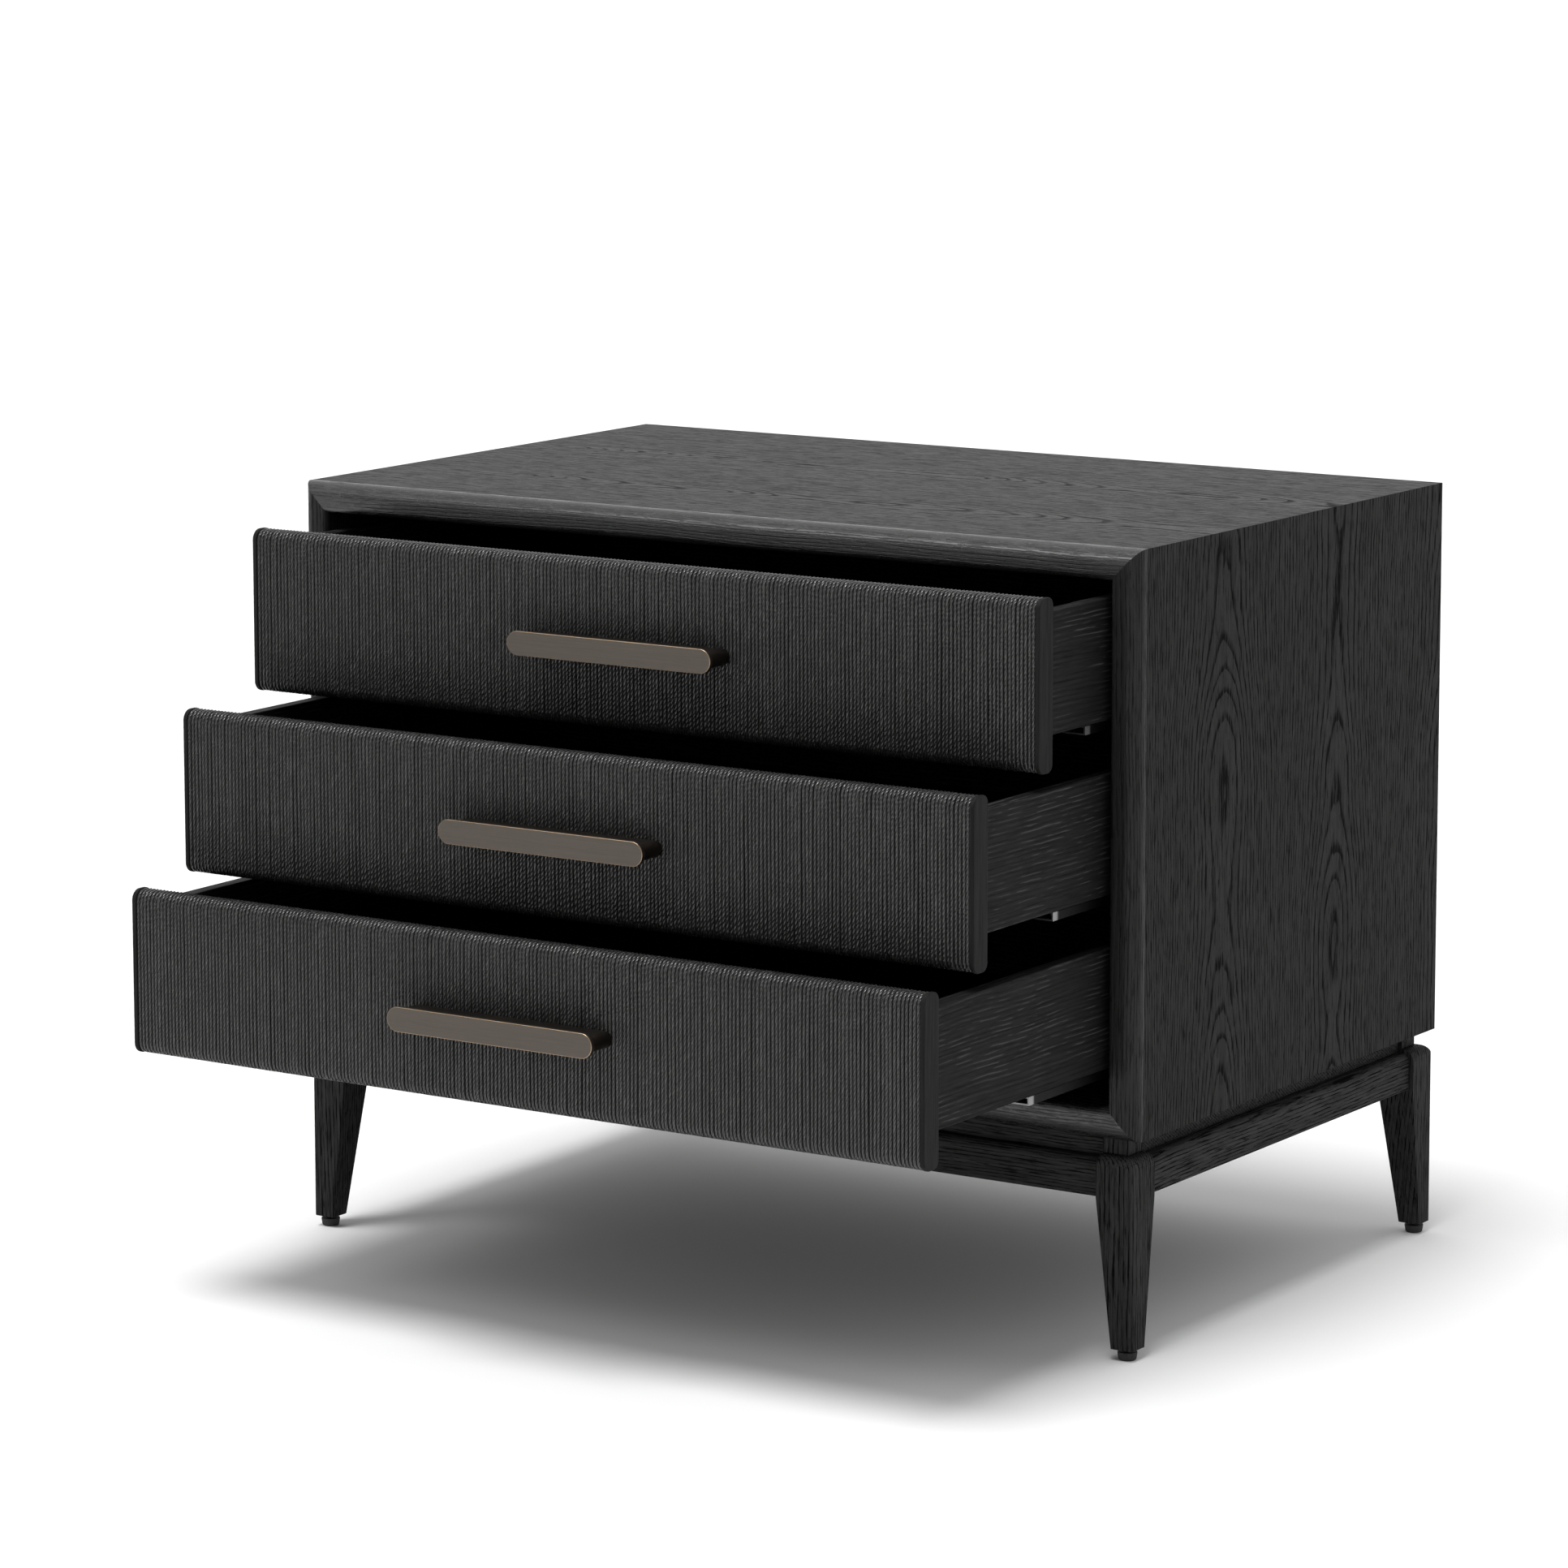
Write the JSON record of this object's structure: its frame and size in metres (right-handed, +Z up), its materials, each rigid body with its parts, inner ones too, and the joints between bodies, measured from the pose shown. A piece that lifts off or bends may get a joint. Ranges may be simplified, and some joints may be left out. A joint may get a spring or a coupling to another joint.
{
  "type": "nightstand",
  "caption": "Wide low nightstand: a mitred oak case on a frame with tapered legs, its drawers faced in upright cord, with bar pulls and full-extension runners.",
  "frame": {"origin": "on the floor, midway between the case sides and midway between the foremost pull and the back of the case with the drawers standing open as at rest", "axes": "+X is the width, to the right seen from the front; the drawers open towards -Y; +Z is up"},
  "size_m": [0.812, 0.803, 0.643],
  "materials": {
    "case_oak": "open-grain oak stained charcoal, satin lacquer",
    "drawer_wood": "dark stained oak, satin lacquer",
    "cord": "twisted charcoal cord, waxed satin",
    "bronze": "brushed bronze with bright worn edges",
    "dark_bronze": "darkened bronze, satin",
    "zinc_steel": "zinc-plated rolled steel",
    "foot_rubber": "matt black nylon, finely ribbed"
  },
  "bodies": {
    "case": {"case_top": "case_oak", "case_bottom": "case_oak", "case_left_side": "case_oak", "case_right_side": "case_oak", "edge_top": "case_oak", "edge_bottom": "case_oak", "edge_left": "case_oak", "edge_right": "case_oak", "back_panel": "case_oak", "apron_front": "case_oak", "apron_back": "case_oak", "apron_left": "case_oak", "apron_right": "case_oak", "leg_front_left": "case_oak", "leg_front_right": "case_oak", "leg_back_left": "case_oak", "leg_back_right": "case_oak", "spacer_blocks": "case_oak", "plinth_rails": "case_oak", "levelling_feet": "foot_rubber", "fixed_runners": "zinc_steel"},
    "top_drawer": {"top_front_core": "drawer_wood", "top_cord_wrap": "cord", "top_end_caps": "case_oak", "top_box_front": "drawer_wood", "top_box_back": "drawer_wood", "top_box_left": "drawer_wood", "top_box_right": "drawer_wood", "top_box_bottom": "drawer_wood", "top_pull_plate": "bronze", "top_pull_bar": "dark_bronze", "top_pull_screws": "zinc_steel", "top_drawer_runners": "zinc_steel"},
    "top_sliders": {"top_sliding_runners": "zinc_steel"},
    "middle_drawer": {"middle_front_core": "drawer_wood", "middle_cord_wrap": "cord", "middle_end_caps": "case_oak", "middle_box_front": "drawer_wood", "middle_box_back": "drawer_wood", "middle_box_left": "drawer_wood", "middle_box_right": "drawer_wood", "middle_box_bottom": "drawer_wood", "middle_pull_plate": "bronze", "middle_pull_bar": "dark_bronze", "middle_pull_screws": "zinc_steel", "middle_drawer_runners": "zinc_steel"},
    "middle_sliders": {"middle_sliding_runners": "zinc_steel"},
    "bottom_drawer": {"bottom_front_core": "drawer_wood", "bottom_cord_wrap": "cord", "bottom_end_caps": "case_oak", "bottom_box_front": "drawer_wood", "bottom_box_back": "drawer_wood", "bottom_box_left": "drawer_wood", "bottom_box_right": "drawer_wood", "bottom_box_bottom": "drawer_wood", "bottom_pull_plate": "bronze", "bottom_pull_bar": "dark_bronze", "bottom_pull_screws": "zinc_steel", "bottom_drawer_runners": "zinc_steel"},
    "bottom_sliders": {"bottom_sliding_runners": "zinc_steel"}
  },
  "joints": [
    {"name": "top_drawer_slide", "type": "slide", "parent": "case", "child": "top_drawer", "axis": [0, -1, 0], "range_m": [-0.108, 0.322]},
    {"name": "top_slider_slide", "type": "slide", "parent": "case", "child": "top_sliders", "axis": [0, -1, 0], "range_m": [-0.054, 0.161]},
    {"name": "middle_drawer_slide", "type": "slide", "parent": "case", "child": "middle_drawer", "axis": [0, -1, 0], "range_m": [-0.202, 0.228]},
    {"name": "middle_slider_slide", "type": "slide", "parent": "case", "child": "middle_sliders", "axis": [0, -1, 0], "range_m": [-0.101, 0.114]},
    {"name": "bottom_drawer_slide", "type": "slide", "parent": "case", "child": "bottom_drawer", "axis": [0, -1, 0], "range_m": [-0.271, 0.159]},
    {"name": "bottom_slider_slide", "type": "slide", "parent": "case", "child": "bottom_sliders", "axis": [0, -1, 0], "range_m": [-0.1355, 0.0795]}
  ],
  "couplings": [
    {"joint": "top_slider_slide", "follows": "top_drawer_slide", "ratio": 0.5},
    {"joint": "middle_slider_slide", "follows": "middle_drawer_slide", "ratio": 0.5},
    {"joint": "bottom_slider_slide", "follows": "bottom_drawer_slide", "ratio": 0.5}
  ]
}
